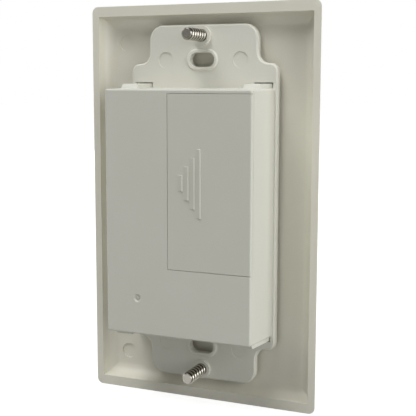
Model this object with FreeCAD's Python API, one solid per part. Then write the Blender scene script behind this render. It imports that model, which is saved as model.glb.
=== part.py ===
import FreeCAD, Part
import math
import os

# A battery-powered wireless wall switch for a single-gang decorator opening.
# Millimetres. The origin is midway between the two box-screw slots, on the
# back face of the mounting frame. +Z is up, the buttons face -Y, the wall
# box is on the +Y side. Seen from behind, +X is on the left.

V = FreeCAD.Vector
BACK = V(0, 1, 0)

# Wall plate
PLATE_W = 69.85
PLATE_DEPTH = 6.5
PLATE_WALL = 2.2
PLATE_CORNER_R = 2.0
PLATE_FLANK_DRAFT = 20.0
PLATE_FRONT_EDGE = 1.2
RIM_SIDE = 2.1
RIM_END = 2.9
RIM_COVE_R = 3.9
RIM_BACK_Y = 1.0
WINDOW_W = 33.3
WINDOW_H = 66.7
WINDOW_R = 0.6

# Plate screws, 6-32 oval head
SCREW_D = 3.5
SCREW_LENGTH = 16.2
SCREW_HEAD_D = 6.9
SCREW_HEAD_DOME = 0.7
SCREW_CROWN_D = 4.2
SCREW_SLOT_W = 0.9
SCREW_SLOT_DEEP = 0.6
COUNTERSINK_ANGLE = 82.0
SCREW_CLEAR = 0.05

# Mounting frame
FRAME_T = 1.9
TAB_LAP = 0.25
TAB_END_GAP = 2.8
TAB_CORNER_R = 4.2
SHOULDER_LAP = 0.75
SHOULDER_DROP = 1.05
SHOULDER_R = 2.3
NECK_R = 3.0
FRAME_EDGE = 0.45
SLOT_TO_CASE = 0.9
SLOT_TO_SCREW = 6.75
SCREW_TO_END = 3.05
BOX_SLOT_L = 7.6
BOX_SLOT_W = 4.0
SLOT_RIM = 1.0
SLOT_RIM_H = 0.5
SLOT_RIM_EDGE = 0.35
BACK_BOSS_D = 5.4
BACK_BOSS_H = 1.0
FRONT_BOSS_W = 5.4
FRONT_BOSS_CLEAR = 0.1
BEZEL_GAP = 0.2
BEZEL_WALL = 1.5
BEZEL_PROUD = 0.6
BEZEL_R = 0.9
BEZEL_EDGE = 0.4
BEZEL_SIDE_ROOM = 5.25
STATUS_BAR_H = 6.0
BAR_WALL = 1.6

# Buttons
BUTTON_COUNT = 3
BUTTON_GAP = 0.3
BUTTON_SIDE_GAP = 0.25
BUTTON_PROUD = 0.6
BUTTON_WALL = 1.6
BUTTON_SKIRT = 1.2
BUTTON_EDGE_R = 0.5
BUTTON_TRAVEL = 0.3
BUTTON_POST_W = 4.0
WING_REACH = 0.6
WING_T = 0.6
WING_L = 10.0
WING_SEAT_DEEP = 1.0
SYMBOL_SIZE = 5.6
SYMBOL_DEEP = 0.25
STOP_SYMBOL_SIZE = 4.5

# Circuit board and tactile switches
BOARD_T = 1.6
BOARD_STANDOFF = 1.0
BOARD_GAP = 0.4
SWITCH_W = 6.2
SWITCH_BODY_H = 3.5
PLUNGER_D = 3.5
PLUNGER_PROUD = 0.8
PLUNGER_SUNK = 1.0
PLUNGER_CLEAR = 0.05
PAD_W = 2.8
PAD_L = 4.0
BOARD_SCREW_D = 1.7
BOARD_SCREW_HEAD_D = 3.0
BOARD_SCREW_HEAD_H = 1.0
BOARD_SCREW_SKIN = 0.5
PAD_INSET = 0.3

# Rear case
CASE_TOP_RISE = 0.6
CASE_TOP_LEAN = 0.3
CASE_BOTTOM_DROP = 3.35
CASE_BOTTOM_LEAN = 1.7
CASE_WALL = 1.4
CASE_BACK_T = 1.5
CASE_EDGE_R = 0.5
CASE_CORNER_R = 0.8
SNAP_INSET = 0.85
SNAP_W = 4.8
SNAP_PROUD = 1.25
SNAP_RAMP = 1.1
SNAP_TOP_L = 9.7
SNAP_BOTTOM_L = 14.6
SNAP_GAP = 0.2
HOOK_T = 0.7
HOOK_REACH = 0.4
HOOK_CLEAR = 0.05
GATE_SIDE = 9.6
GATE_UP = 12.0
GATE_D = 2.3
GATE_DEEP = 0.45
GATE_NUB_D = 0.8
GATE_NUB_DOWN = 0.15

# Battery bay and cover
CELL_D = 10.5
CELL_L = 44.5
CELL_NUB_D = 3.8
CELL_NUB_H = 0.9
CELL_GAP = 0.2
BAY_SIDE_GAP = 0.35
BAY_FLOOR_T = 1.1
BAY_FLOOR_GAP = 0.05
BAY_WALL = 1.6
BAY_OUTER_WALL = 1.4
BAY_COVER_STEP = 1.1
BAY_BOARD_GAP = 1.65
COMPONENT_BAY_W = 17.1
SPRING_L = 3.2
SPRING_WIRE_D = 0.6
SPRING_BASE_D = 7.0
SPRING_TIP_D = 4.2
SPRING_TURNS = 3
SPRING_SEAT = 0.15
COIL_SIDES = 8
WIRE_SIDES = 6
CONTACT_T = 0.4
CONTACT_W = 8.6
TAIL_W = 2.5
TAIL_CLEAR = 0.25
TAIL_SHORT = 0.2
COVER_TOP_MARGIN = 1.05
COVER_BOTTOM_LAP = 0.75
COVER_GAP = 0.12
TONGUE_T = 0.8
TONGUE_REACH = 0.5
TONGUE_CLEAR = 0.08
RIDGE_COUNT = 4
RIDGE_PITCH = 1.78
RIDGE_FIRST_IN = 4.45
RIDGE_FIRST_L = 4.3
RIDGE_GROWTH = 4.75
RIDGE_H = 0.35
RIDGE_RAMP = 1.35
RIDGE_STEP = 0.15
RIDGE_ROOT = 0.5

# Board components
LED_W = 1.6
LED_L = 0.8
LED_H = 0.8
LED_GAP = 0.3
PIPE_D = 2.0
PIPE_FOOT_W = 3.0
PIPE_FOOT_T = 0.8
PIPE_PROUD = 0.15
PIPE_CLEAR = 0.05
PIPE_BOSS_WALL = 1.0
CHIP_LEAD_T = 0.2
CHIP_LEAD_W = 0.4
CHIP_LEAD_ROOT = 0.2
CHIP_LEAD_OUT = 0.5
CHIP_LEAD_REACH = 1.2
CHIP_STANDOFF = 0.1
CHIP_EDGE = 0.2
CONTROLLER_W = 7.5
CONTROLLER_L = 12.8
CONTROLLER_H = 2.3
RADIO_W = 3.9
RADIO_L = 4.9
RADIO_H = 1.5
CRYSTAL_L = 10.8
CRYSTAL_W = 4.5
CRYSTAL_H = 3.5
CRYSTAL_EDGE = 0.35
COIL_D = 5.0
COIL_WIRE_D = 0.8
COIL_PITCH = 2.2
COIL_TURNS = 5
COIL_LIFT = 1.2
COIL_END_GAP = 2.0
CAPACITOR_D = 5.0
CAPACITOR_L = 7.0
CAPACITOR_OFFSET = 3.2
PART_GAP = 2.3

# Values that follow from the sizes above
PLATE_FRONT_Y = RIM_BACK_Y - PLATE_DEPTH
PLATE_INNER_Y = PLATE_FRONT_Y + PLATE_WALL
BEZEL_W = WINDOW_W - 2 * BEZEL_GAP
BEZEL_H = WINDOW_H - 2 * BEZEL_GAP
BEZEL_FRONT_Y = PLATE_FRONT_Y - BEZEL_PROUD
OPEN_W = BEZEL_W - 2 * BEZEL_WALL
OPEN_BOTTOM_Z = -BEZEL_H / 2 + BEZEL_WALL
OPEN_TOP_Z = BEZEL_H / 2 - STATUS_BAR_H
OPEN_H = OPEN_TOP_Z - OPEN_BOTTOM_Z
BUTTON_W = OPEN_W - 2 * BUTTON_SIDE_GAP
BUTTON_H = (OPEN_H - (BUTTON_COUNT + 1) * BUTTON_GAP) / BUTTON_COUNT
BUTTON_FRONT_Y = BEZEL_FRONT_Y - BUTTON_PROUD
WING_FRONT_Y = -WING_SEAT_DEEP
BUTTON_BACK_Y = WING_FRONT_Y + WING_T
BOARD_FRONT_Y = BOARD_STANDOFF
BOARD_BACK_Y = BOARD_FRONT_Y + BOARD_T
SWITCH_FRONT_Y = BOARD_FRONT_Y - SWITCH_BODY_H
PLUNGER_FRONT_Y = SWITCH_FRONT_Y - PLUNGER_PROUD

# The case is as wide as its bay and its components need, or as the bezel needs
CELL_PITCH = CELL_D + CELL_GAP
BAY_W = CELL_PITCH + CELL_D + 2 * BAY_SIDE_GAP
CONTENTS_W = BAY_OUTER_WALL + BAY_W + BAY_WALL + COMPONENT_BAY_W + CASE_WALL
CASE_W = max(CONTENTS_W, BEZEL_W + 2 * BEZEL_SIDE_ROOM)
BAY_FRONT_Y = BOARD_BACK_Y + BAY_BOARD_GAP
BAY_FLOOR_Y = BAY_FRONT_Y + BAY_FLOOR_T
CELL_Y = BAY_FLOOR_Y + BAY_FLOOR_GAP + CELL_D / 2
CASE_INNER_Y = CELL_Y + CELL_D / 2 + CELL_GAP
CASE_DEPTH = CASE_INNER_Y + CASE_BACK_T
CASE_TOP_Z = BEZEL_H / 2 + CASE_TOP_RISE
CASE_BOTTOM_Z = -BEZEL_H / 2 - CASE_BOTTOM_DROP
CASE_INNER_X = CASE_W / 2 - CASE_WALL
CASE_INNER_TOP = CASE_TOP_Z - CASE_WALL
CASE_INNER_BOTTOM = CASE_BOTTOM_Z + CASE_WALL
SNAP_X = CASE_W / 2 - SNAP_INSET - SNAP_W / 2
GATE_X = CASE_W / 2 - GATE_SIDE
GATE_Z = CASE_BOTTOM_Z + GATE_UP
BAY_RIGHT_X = -CASE_W / 2 + BAY_OUTER_WALL
BAY_LEFT_X = BAY_RIGHT_X + BAY_W
CELL_LEFT_X = BAY_LEFT_X - BAY_SIDE_GAP - CELL_D / 2
CELL_RIGHT_X = CELL_LEFT_X - CELL_PITCH
BAY_TOP_Z = CASE_INNER_TOP - CASE_TOP_LEAN
BAY_BOTTOM_Z = BAY_TOP_Z - CELL_L - SPRING_L - 2 * CONTACT_T
COVER_SEAM_X = BAY_LEFT_X + BAY_COVER_STEP
COVER_TOP_Z = CASE_TOP_Z - CASE_TOP_LEAN - COVER_TOP_MARGIN
COVER_BOTTOM_Z = BAY_BOTTOM_Z + COVER_BOTTOM_LAP

# The frame clears the case's snaps, and the plate clears the frame
CASE_REACH = max(CASE_TOP_Z, -CASE_BOTTOM_Z) + SNAP_PROUD
BOX_SLOT_SPACING = 2 * (CASE_REACH + SLOT_TO_CASE + SLOT_RIM) + BOX_SLOT_W
PLATE_SCREW_SPACING = BOX_SLOT_SPACING + 2 * SLOT_TO_SCREW
TAB_W = BEZEL_W + 2 * TAB_LAP
TAB_H = PLATE_SCREW_SPACING + 2 * SCREW_TO_END
SHOULDER_W = CASE_W + 2 * SHOULDER_LAP
SHOULDER_H = BOX_SLOT_SPACING - 2 * SHOULDER_DROP
PLATE_H = TAB_H + 2 * (TAB_END_GAP + RIM_END)

# The board is as tall as the bay and the case's foot allow, and its components stack up from its lower edge
BOARD_HALF_W = CASE_INNER_X - BOARD_GAP
BOARD_TOP_Z = BAY_TOP_Z - BOARD_GAP
BOARD_BOTTOM_Z = CASE_INNER_BOTTOM + CASE_BOTTOM_LEAN * BOARD_BACK_Y / CASE_DEPTH + BOARD_GAP
BOARD_SCREW_X = BOARD_HALF_W - PAD_INSET - PAD_W / 2
BOARD_SCREW_GRIP = FRAME_T + BOARD_STANDOFF - BOARD_SCREW_SKIN
PIPE_Z = BEZEL_H / 2 - STATUS_BAR_H / 2
PIPE_BACK_Y = BOARD_FRONT_Y - LED_H - LED_GAP
COMPONENT_X = (BAY_LEFT_X + BAY_WALL + CASE_INNER_X) / 2
CAPACITOR_X = COMPONENT_X + CAPACITOR_OFFSET
CRYSTAL_Z = BOARD_BOTTOM_Z + PART_GAP + CRYSTAL_W / 2
CAPACITOR_Z = CRYSTAL_Z + CRYSTAL_W / 2 + PART_GAP + CAPACITOR_D / 2
RADIO_Z = CAPACITOR_Z + CAPACITOR_D / 2 + PART_GAP + RADIO_L / 2
CONTROLLER_Z = RADIO_Z + RADIO_L / 2 + PART_GAP + CONTROLLER_L / 2
BOARD_SCREW_Z = CONTROLLER_Z + CONTROLLER_L / 2 + PART_GAP + BOARD_SCREW_HEAD_D / 2


def box(x0, x1, y0, y1, z0, z1):
    """A box between two corners, whichever way round they are given."""
    low = V(min(x0, x1), min(y0, y1), min(z0, z1))
    size = V(abs(x1 - x0), abs(y1 - y0), abs(z1 - z0))
    return Part.makeBox(size.x, size.y, size.z, low)


def rod(x, z, y0, y1, diameter):
    """A round bar along Y."""
    return Part.makeCylinder(diameter / 2, y1 - y0, V(x, y0, z), BACK)


def edges_along(shape, axis, test=lambda e: True):
    """The straight edges that run along an axis and pass a test."""
    found = []
    for edge in shape.Edges:
        if len(edge.Vertexes) != 2 or not isinstance(edge.Curve, (Part.Line, Part.LineSegment)):
            continue
        way = edge.Vertexes[1].Point - edge.Vertexes[0].Point
        way.normalize()
        if abs(abs(way.dot(axis)) - 1) < 1e-6 and test(edge):
            found.append(edge)
    return found


def edges_at(shape, y, test=lambda e: True):
    """The edges that lie wholly in the plane at the given Y."""
    found = []
    for edge in shape.Edges:
        bounds = edge.BoundBox
        if abs(bounds.YMin - y) < 1e-6 and abs(bounds.YMax - y) < 1e-6 and test(edge):
            found.append(edge)
    return found


def rounded_bar(width, height, y0, y1, radius, x=0.0, z=0.0):
    """A bar along Y with a rounded rectangle as its section."""
    bar = box(x - width / 2, x + width / 2, y0, y1, z - height / 2, z + height / 2)
    return bar.makeFillet(radius, edges_along(bar, BACK))


def obround(length, width, y0, y1, z):
    """A slot shape with round ends, long along X."""
    half = (length - width) / 2
    middle = box(-half, half, y0, y1, z - width / 2, z + width / 2)
    return middle.fuse([rod(-half, z, y0, y1, width), rod(half, z, y0, y1, width)]).removeSplitter()


def prism(points, way):
    """A closed outline of points swept straight along a vector."""
    wire = Part.makePolygon(points + [points[0]])
    return Part.Face(wire).extrude(way)


def revolve_y(points, x, z):
    """A profile of (radius, y) points turned about a line along Y."""
    outline = [V(r, y, 0) for r, y in points]
    face = Part.Face(Part.makePolygon(outline + [outline[0]]))
    turned = face.revolve(V(0, 0, 0), BACK, 360)
    turned.translate(V(x, 0, z))
    return turned


def coil(radius_start, radius_end, pitch, turns, wire_d):
    """A wire wound about Z in short straight runs, starting on +X at z = 0."""
    runs = turns * COIL_SIDES
    path = []
    for step in range(runs + 1):
        angle = 2 * math.pi * step / COIL_SIDES
        radius = radius_start + (radius_end - radius_start) * step / runs
        path.append(V(radius * math.cos(angle), radius * math.sin(angle), pitch * step / COIL_SIDES))
    way = path[1] - path[0]
    frame = FreeCAD.Placement(path[0], FreeCAD.Rotation(V(0, 0, 1), way))
    ring = [V(math.cos(a), math.sin(a), 0) * (wire_d / 2)
            for a in (2 * math.pi * (k + 0.5) / WIRE_SIDES for k in range(WIRE_SIDES))]
    section = Part.makePolygon([frame.multVec(p) for p in ring + [ring[0]]])
    shell = Part.BRepOffsetAPI.MakePipeShell(Part.makePolygon(path))
    shell.setTransitionMode(1)
    shell.add(section)
    shell.build()
    shell.makeSolid()
    return shell.shape()


def wall_plate():
    """The plate: a drafted shell with a coved rim, a window and two screw holes."""
    inset = PLATE_DEPTH * math.tan(math.radians(PLATE_FLANK_DRAFT))
    half_w, half_h = PLATE_W / 2, PLATE_H / 2
    plate = Part.makeWedge(-half_w + inset, PLATE_FRONT_Y, -half_h + inset, -half_h, -half_w,
                           half_w - inset, RIM_BACK_Y, half_h - inset, half_h, half_w)
    corners = [e for e in plate.Edges if e.BoundBox.YLength > PLATE_DEPTH / 2]
    plate = plate.makeFillet(PLATE_CORNER_R, corners)
    plate = plate.makeChamfer(PLATE_FRONT_EDGE, edges_at(plate, PLATE_FRONT_Y))
    window = rounded_bar(WINDOW_W, WINDOW_H, PLATE_FRONT_Y - 1, RIM_BACK_Y, WINDOW_R)
    cuts = [plate_hollow(), window]
    for side in (1, -1):
        cuts.append(screw_hole(side * PLATE_SCREW_SPACING / 2))
    return plate.cut(cuts)


def plate_hollow():
    """The hollow behind the plate, with a cove all round its floor."""
    hollow = box(-PLATE_W / 2 + RIM_SIDE, PLATE_W / 2 - RIM_SIDE, PLATE_INNER_Y, RIM_BACK_Y + 1,
                 -PLATE_H / 2 + RIM_END, PLATE_H / 2 - RIM_END)
    return hollow.makeFillet(RIM_COVE_R, edges_at(hollow, PLATE_INNER_Y))


def head_depth():
    """How deep the countersunk part of the plate screw's head goes."""
    return (SCREW_HEAD_D - SCREW_D) / 2 / math.tan(math.radians(COUNTERSINK_ANGLE / 2))


def screw_hole(z):
    """The countersunk hole of one plate screw, as a solid to cut away."""
    wide = SCREW_HEAD_D / 2 + SCREW_CLEAR
    narrow = SCREW_D / 2 + SCREW_CLEAR
    deep = head_depth()
    y = PLATE_FRONT_Y
    return revolve_y([(0, y - 1), (wide, y - 1), (wide, y), (narrow, y + deep),
                      (narrow, PLATE_INNER_Y + 1), (0, PLATE_INNER_Y + 1)], 0, z)


def plate_screw(z):
    """A slotted oval-head screw with a plain shank where its thread is."""
    y = PLATE_FRONT_Y
    tip = y + SCREW_LENGTH
    shank = SCREW_D / 2
    head = SCREW_HEAD_D / 2
    crown = y - SCREW_HEAD_DOME
    body = revolve_y([(0, crown), (SCREW_CROWN_D / 2, crown), (head, y), (shank, y + head_depth()),
                      (shank, tip), (0, tip)], 0, z)
    slot = box(-head, head, crown - 1, crown + SCREW_SLOT_DEEP,
               z - SCREW_SLOT_W / 2, z + SCREW_SLOT_W / 2)
    return body.cut(slot)


def snap_places():
    """Each snap of the case: its side along X and its outer face's Z on the frame."""
    places = []
    for side in (1, -1):
        places.append((side, CASE_TOP_Z, 1))
        places.append((side, CASE_BOTTOM_Z, -1))
    return places


def board_pads():
    """Low pads and screw bosses on the frame that the board seats on."""
    pads = []
    for x in (BOARD_SCREW_X, -BOARD_SCREW_X):
        for z in (BOARD_TOP_Z - PAD_L, BOARD_BOTTOM_Z + PAD_L):
            pads.append(box(x - PAD_W / 2, x + PAD_W / 2, -FRAME_T, BOARD_FRONT_Y,
                            z - PAD_L / 2, z + PAD_L / 2))
        pads.append(box(x - PAD_W / 2, x + PAD_W / 2, -FRAME_T, BOARD_FRONT_Y,
                        BOARD_SCREW_Z - PAD_L / 2, BOARD_SCREW_Z + PAD_L / 2))
    return pads


def mounting_frame():
    """The moulded strap and the bezel that stands through the plate's window."""
    tab = box(-TAB_W / 2, TAB_W / 2, -FRAME_T, 0, -TAB_H / 2, TAB_H / 2)
    shoulders = box(-SHOULDER_W / 2, SHOULDER_W / 2, -FRAME_T, 0, -SHOULDER_H / 2, SHOULDER_H / 2)
    strap = tab.fuse(shoulders).removeSplitter()
    tops = edges_along(strap, BACK, lambda e: abs(e.Vertexes[0].Z) > TAB_H / 2 - 0.01)
    strap = strap.makeFillet(TAB_CORNER_R, tops)
    wings = edges_along(strap, BACK, lambda e: abs(e.Vertexes[0].X) > SHOULDER_W / 2 - 0.01)
    strap = strap.makeFillet(SHOULDER_R, wings)
    necks = edges_along(strap, BACK, lambda e: abs(abs(e.Vertexes[0].X) - TAB_W / 2) < 0.01
                        and abs(abs(e.Vertexes[0].Z) - SHOULDER_H / 2) < 0.01)
    strap = strap.makeFillet(NECK_R, necks)
    strap = strap.makeChamfer(FRAME_EDGE, edges_at(strap, 0))
    bezel = rounded_bar(BEZEL_W, BEZEL_H, BEZEL_FRONT_Y, 0, BEZEL_R)
    bezel = bezel.makeChamfer(BEZEL_EDGE, edges_at(bezel, BEZEL_FRONT_Y))
    raised = [bezel]
    for side in (1, -1):
        screw_z = side * PLATE_SCREW_SPACING / 2
        raised.append(front_boss(screw_z))
        raised.append(back_boss(screw_z))
        raised.append(slot_rim(side * BOX_SLOT_SPACING / 2))
    frame = strap.fuse(raised + board_pads())
    half_boss = PIPE_FOOT_W / 2 + PIPE_BOSS_WALL
    opening = box(-OPEN_W / 2, OPEN_W / 2, BEZEL_FRONT_Y - 1, 1, OPEN_BOTTOM_Z, OPEN_TOP_Z)
    seat_w = OPEN_W + 2 * (WING_REACH + BUTTON_SIDE_GAP)
    seat = box(-seat_w / 2, seat_w / 2, WING_FRONT_Y, 1, OPEN_BOTTOM_Z, OPEN_TOP_Z)
    bar_hollow = box(-OPEN_W / 2, OPEN_W / 2, BEZEL_FRONT_Y + BAR_WALL, 1,
                     OPEN_TOP_Z + BEZEL_WALL, BEZEL_H / 2 - BEZEL_WALL)
    bar_hollow = bar_hollow.cut(box(-half_boss, half_boss, BEZEL_FRONT_Y, 1, OPEN_TOP_Z, BEZEL_H / 2))
    cuts = [opening, seat, bar_hollow, pipe_hole()]
    for side in (1, -1):
        screw_z = side * PLATE_SCREW_SPACING / 2
        slot_z = side * BOX_SLOT_SPACING / 2
        cuts.append(rod(0, screw_z, PLATE_INNER_Y - 1, BACK_BOSS_H + 1, SCREW_D + 2 * SCREW_CLEAR))
        cuts.append(obround(BOX_SLOT_L, BOX_SLOT_W, -FRAME_T - 1, SLOT_RIM_H + 1, slot_z))
        cuts.append(board_screw_hole(side * BOARD_SCREW_X))
    for side, face_z, up in snap_places():
        cuts.append(snap_notch(side, face_z, up))
    return frame.cut(cuts).removeSplitter()


def front_boss(z):
    """The square post that the plate is drawn against, trimmed clear of the plate's cove."""
    room = plate_hollow()
    room.translate(V(0, FRONT_BOSS_CLEAR, 0))
    half = FRONT_BOSS_W / 2
    return box(-half, half, PLATE_INNER_Y, -FRAME_T, z - half, z + half).common(room)


def back_boss(z):
    """The low round boss that a plate screw leaves the frame through."""
    return rod(0, z, -FRAME_T, BACK_BOSS_H, BACK_BOSS_D)


def slot_rim(z):
    """The rounded rim raised round a box-screw slot."""
    rim = obround(BOX_SLOT_L + 2 * SLOT_RIM, BOX_SLOT_W + 2 * SLOT_RIM, -FRAME_T, SLOT_RIM_H, z)
    return rim.makeChamfer(SLOT_RIM_EDGE, edges_at(rim, SLOT_RIM_H))


def snap_notch(side, face_z, up):
    """The slot in the frame that one snap of the case passes through."""
    x0 = side * (SNAP_X - SNAP_W / 2 - SNAP_GAP)
    x1 = side * (SNAP_X + SNAP_W / 2 + SNAP_GAP)
    inner = face_z - up * SNAP_GAP
    outer = face_z + up * (SNAP_PROUD + SNAP_GAP)
    return box(x0, x1, -FRAME_T - 1, 1, inner, outer)


def board_screw_hole(x):
    """The pilot hole of a board screw in the frame."""
    depth = BOARD_SCREW_GRIP + SCREW_CLEAR
    return rod(x, BOARD_SCREW_Z, BOARD_FRONT_Y - depth, BOARD_FRONT_Y + 1,
               BOARD_SCREW_D + 2 * SCREW_CLEAR)


def pipe_hole():
    """The light pipe's round bore through the status bar, with its square seat behind."""
    bore = rod(0, PIPE_Z, BEZEL_FRONT_Y - 1, 1, PIPE_D + 2 * PIPE_CLEAR)
    half = PIPE_FOOT_W / 2 + PIPE_CLEAR
    seat = box(-half, half, PIPE_BACK_Y - PIPE_FOOT_T, 1, PIPE_Z - half, PIPE_Z + half)
    return bore.fuse(seat)


def light_pipe():
    """The clear rod that carries the status light to the bezel's face."""
    stem = rod(0, PIPE_Z, BEZEL_FRONT_Y - PIPE_PROUD, PIPE_BACK_Y, PIPE_D)
    half = PIPE_FOOT_W / 2
    foot = box(-half, half, PIPE_BACK_Y - PIPE_FOOT_T, PIPE_BACK_Y, PIPE_Z - half, PIPE_Z + half)
    return stem.fuse(foot).removeSplitter()


def button_z(index):
    """The middle height of a button, counted from the top."""
    return OPEN_TOP_Z - BUTTON_GAP - BUTTON_H / 2 - index * (BUTTON_H + BUTTON_GAP)


def push_button(index, symbol):
    """A button: a shallow cap with a post, two retaining wings and a sunk symbol."""
    z = button_z(index)
    cap = box(-BUTTON_W / 2, BUTTON_W / 2, BUTTON_FRONT_Y, BUTTON_BACK_Y,
              z - BUTTON_H / 2, z + BUTTON_H / 2)
    cap = cap.makeFillet(BUTTON_EDGE_R, edges_at(cap, BUTTON_FRONT_Y))
    inner_y = BUTTON_FRONT_Y + BUTTON_WALL
    half_w = BUTTON_W / 2 - BUTTON_SKIRT
    half_h = BUTTON_H / 2 - BUTTON_SKIRT
    cap = cap.cut(box(-half_w, half_w, inner_y, BUTTON_BACK_Y + 1, z - half_h, z + half_h))
    half_post = BUTTON_POST_W / 2
    added = [box(-half_post, half_post, inner_y - BUTTON_WALL / 2, PLUNGER_FRONT_Y,
                 z - half_post, z + half_post)]
    for side in (1, -1):
        x0 = side * (BUTTON_W / 2 - BUTTON_SKIRT / 2)
        x1 = side * (OPEN_W / 2 + WING_REACH)
        added.append(box(x0, x1, WING_FRONT_Y, BUTTON_BACK_Y, z - WING_L / 2, z + WING_L / 2))
    return cap.fuse(added).cut(symbol(z)).removeSplitter()


def arrow(z, up):
    """A triangle that points up or down, to cut into a button's face."""
    half = SYMBOL_SIZE / 2
    y = BUTTON_FRONT_Y - 1
    low = z - up * half * math.sqrt(3) / 2
    tip = z + up * half * math.sqrt(3) / 2
    return prism([V(-half, y, low), V(half, y, low), V(0, y, tip)], V(0, 1 + SYMBOL_DEEP, 0))


def square(z):
    """A square, to cut into the middle button's face."""
    half = STOP_SYMBOL_SIZE / 2
    return box(-half, half, BUTTON_FRONT_Y - 1, BUTTON_FRONT_Y + SYMBOL_DEEP, z - half, z + half)


def circuit_board():
    """The board, with holes for its two screws and the two contact tails."""
    board = box(-BOARD_HALF_W, BOARD_HALF_W, BOARD_FRONT_Y, BOARD_BACK_Y, BOARD_BOTTOM_Z, BOARD_TOP_Z)
    cuts = []
    for x in (BOARD_SCREW_X, -BOARD_SCREW_X):
        cuts.append(rod(x, BOARD_SCREW_Z, BOARD_FRONT_Y - 1, BOARD_BACK_Y + 1,
                        BOARD_SCREW_D + 2 * SCREW_CLEAR))
    for x in (CELL_LEFT_X, CELL_RIGHT_X):
        cuts.append(tail_slot(x, BOARD_BACK_Y))
    return board.cut(cuts)


def tail_slot(x, y):
    """The narrow slot round a contact's tail, through the sheet behind y."""
    half = TAIL_W / 2 + TAIL_CLEAR
    return box(x - half, x + half, y - BOARD_T - 1, y + 1,
               BAY_BOTTOM_Z - TAIL_CLEAR, BAY_BOTTOM_Z + CONTACT_T + TAIL_CLEAR)


def board_screw(x):
    """A small pan-head screw that holds the board to the frame."""
    shank = rod(x, BOARD_SCREW_Z, BOARD_FRONT_Y - BOARD_SCREW_GRIP, BOARD_BACK_Y, BOARD_SCREW_D)
    head = rod(x, BOARD_SCREW_Z, BOARD_BACK_Y, BOARD_BACK_Y + BOARD_SCREW_HEAD_H, BOARD_SCREW_HEAD_D)
    return shank.fuse(head)


def switch_body(index):
    """The square body of a tactile switch with its round well."""
    z = button_z(index)
    half = SWITCH_W / 2
    body = box(-half, half, SWITCH_FRONT_Y, BOARD_FRONT_Y, z - half, z + half)
    well_deep = PLUNGER_SUNK + BUTTON_TRAVEL + 2 * PLUNGER_CLEAR
    return body.cut(rod(0, z, SWITCH_FRONT_Y - 1, SWITCH_FRONT_Y + well_deep,
                        PLUNGER_D + 2 * PLUNGER_CLEAR))


def switch_plunger(index):
    """The round plunger that the button's post bears on."""
    return rod(0, button_z(index), PLUNGER_FRONT_Y, SWITCH_FRONT_Y + PLUNGER_SUNK, PLUNGER_D)


def case_profile(inset_top, inset_bottom, y0, y1, half_width):
    """A block with the case's side profile, whose two ends lean in, between two depths."""
    def low(y):
        return CASE_BOTTOM_Z + inset_bottom + CASE_BOTTOM_LEAN * y / CASE_DEPTH

    def high(y):
        return CASE_TOP_Z - inset_top - CASE_TOP_LEAN * y / CASE_DEPTH
    points = [V(-half_width, y0, high(y0)), V(-half_width, y1, high(y1)),
              V(-half_width, y1, low(y1)), V(-half_width, y0, low(y0))]
    return prism(points, V(2 * half_width, 0, 0))


def snap(side, face_z, up):
    """One snap: a rib on the case's end wall, ramped at its far end, with a hook behind the frame."""
    x0 = side * (SNAP_X - SNAP_W / 2)
    x1 = side * (SNAP_X + SNAP_W / 2)
    long = SNAP_TOP_L if up > 0 else SNAP_BOTTOM_L
    lean = (-CASE_TOP_LEAN if up > 0 else CASE_BOTTOM_LEAN) / CASE_DEPTH
    outer = face_z + up * SNAP_PROUD
    root = face_z - up * CASE_WALL / 2
    crest = long - SNAP_RAMP
    points = [V(x0, 0, outer), V(x0, crest, outer + lean * crest), V(x0, long, face_z + lean * long),
              V(x0, long, root + lean * long), V(x0, 0, root)]
    rib = prism(points, V(x1 - x0, 0, 0))
    hook_front = -FRAME_T - HOOK_CLEAR - HOOK_T
    leg = box(x0, x1, hook_front, 0, face_z, outer)
    bezel_side = side * (BEZEL_W / 2 + SNAP_GAP)
    leg = leg.cut(box(0, bezel_side, hook_front - 1, -FRAME_T, face_z - 1, outer + up + 1))
    hook = box(bezel_side, x1, hook_front, hook_front + HOOK_T, face_z,
               outer + up * (SNAP_GAP + HOOK_REACH))
    return rib.fuse([leg, hook])


def rear_case():
    """The case: a lipped shell with the battery bay moulded into it."""
    outer = case_profile(0, 0, 0, CASE_DEPTH, CASE_W / 2)
    outer = outer.makeFillet(CASE_CORNER_R, [e for e in outer.Edges if e.BoundBox.YLength > CASE_DEPTH / 2])
    outer = outer.makeFillet(CASE_EDGE_R, edges_at(outer, CASE_DEPTH))
    hollow = case_profile(CASE_WALL, CASE_WALL, -1, CASE_INNER_Y, CASE_INNER_X)
    shell = outer.cut(hollow)
    block = box(-CASE_INNER_X - CASE_WALL / 2, BAY_LEFT_X + BAY_WALL, BAY_FRONT_Y, CASE_INNER_Y,
                BAY_BOTTOM_Z - BAY_WALL, CASE_TOP_Z)
    block = block.common(case_profile(CASE_WALL / 2, 0, 0, CASE_DEPTH, CASE_W / 2))
    added = [block]
    for side, face_z, up in snap_places():
        added.append(snap(side, face_z, up))
    shell = shell.fuse(added + board_stops())
    bay = box(BAY_RIGHT_X, BAY_LEFT_X, BAY_FLOOR_Y, CASE_INNER_Y, BAY_BOTTOM_Z, BAY_TOP_Z)
    cuts = [bay, cover_recess(), gate_mark()]
    for x in (CELL_LEFT_X, CELL_RIGHT_X):
        cuts.append(tail_slot(x, BAY_FLOOR_Y))
    return shell.cut(cuts).removeSplitter()


def board_stops():
    """Short posts under the bay's floor that hold the board on its pads."""
    stops = []
    for z in (BAY_TOP_Z - PAD_L, BAY_BOTTOM_Z + 2 * PAD_L):
        stops.append(box(CELL_RIGHT_X - PAD_W / 2, CELL_RIGHT_X + PAD_W / 2, BOARD_BACK_Y,
                         BAY_FRONT_Y + BAY_FLOOR_T / 2, z - PAD_L / 2, z + PAD_L / 2))
    return stops


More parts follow.
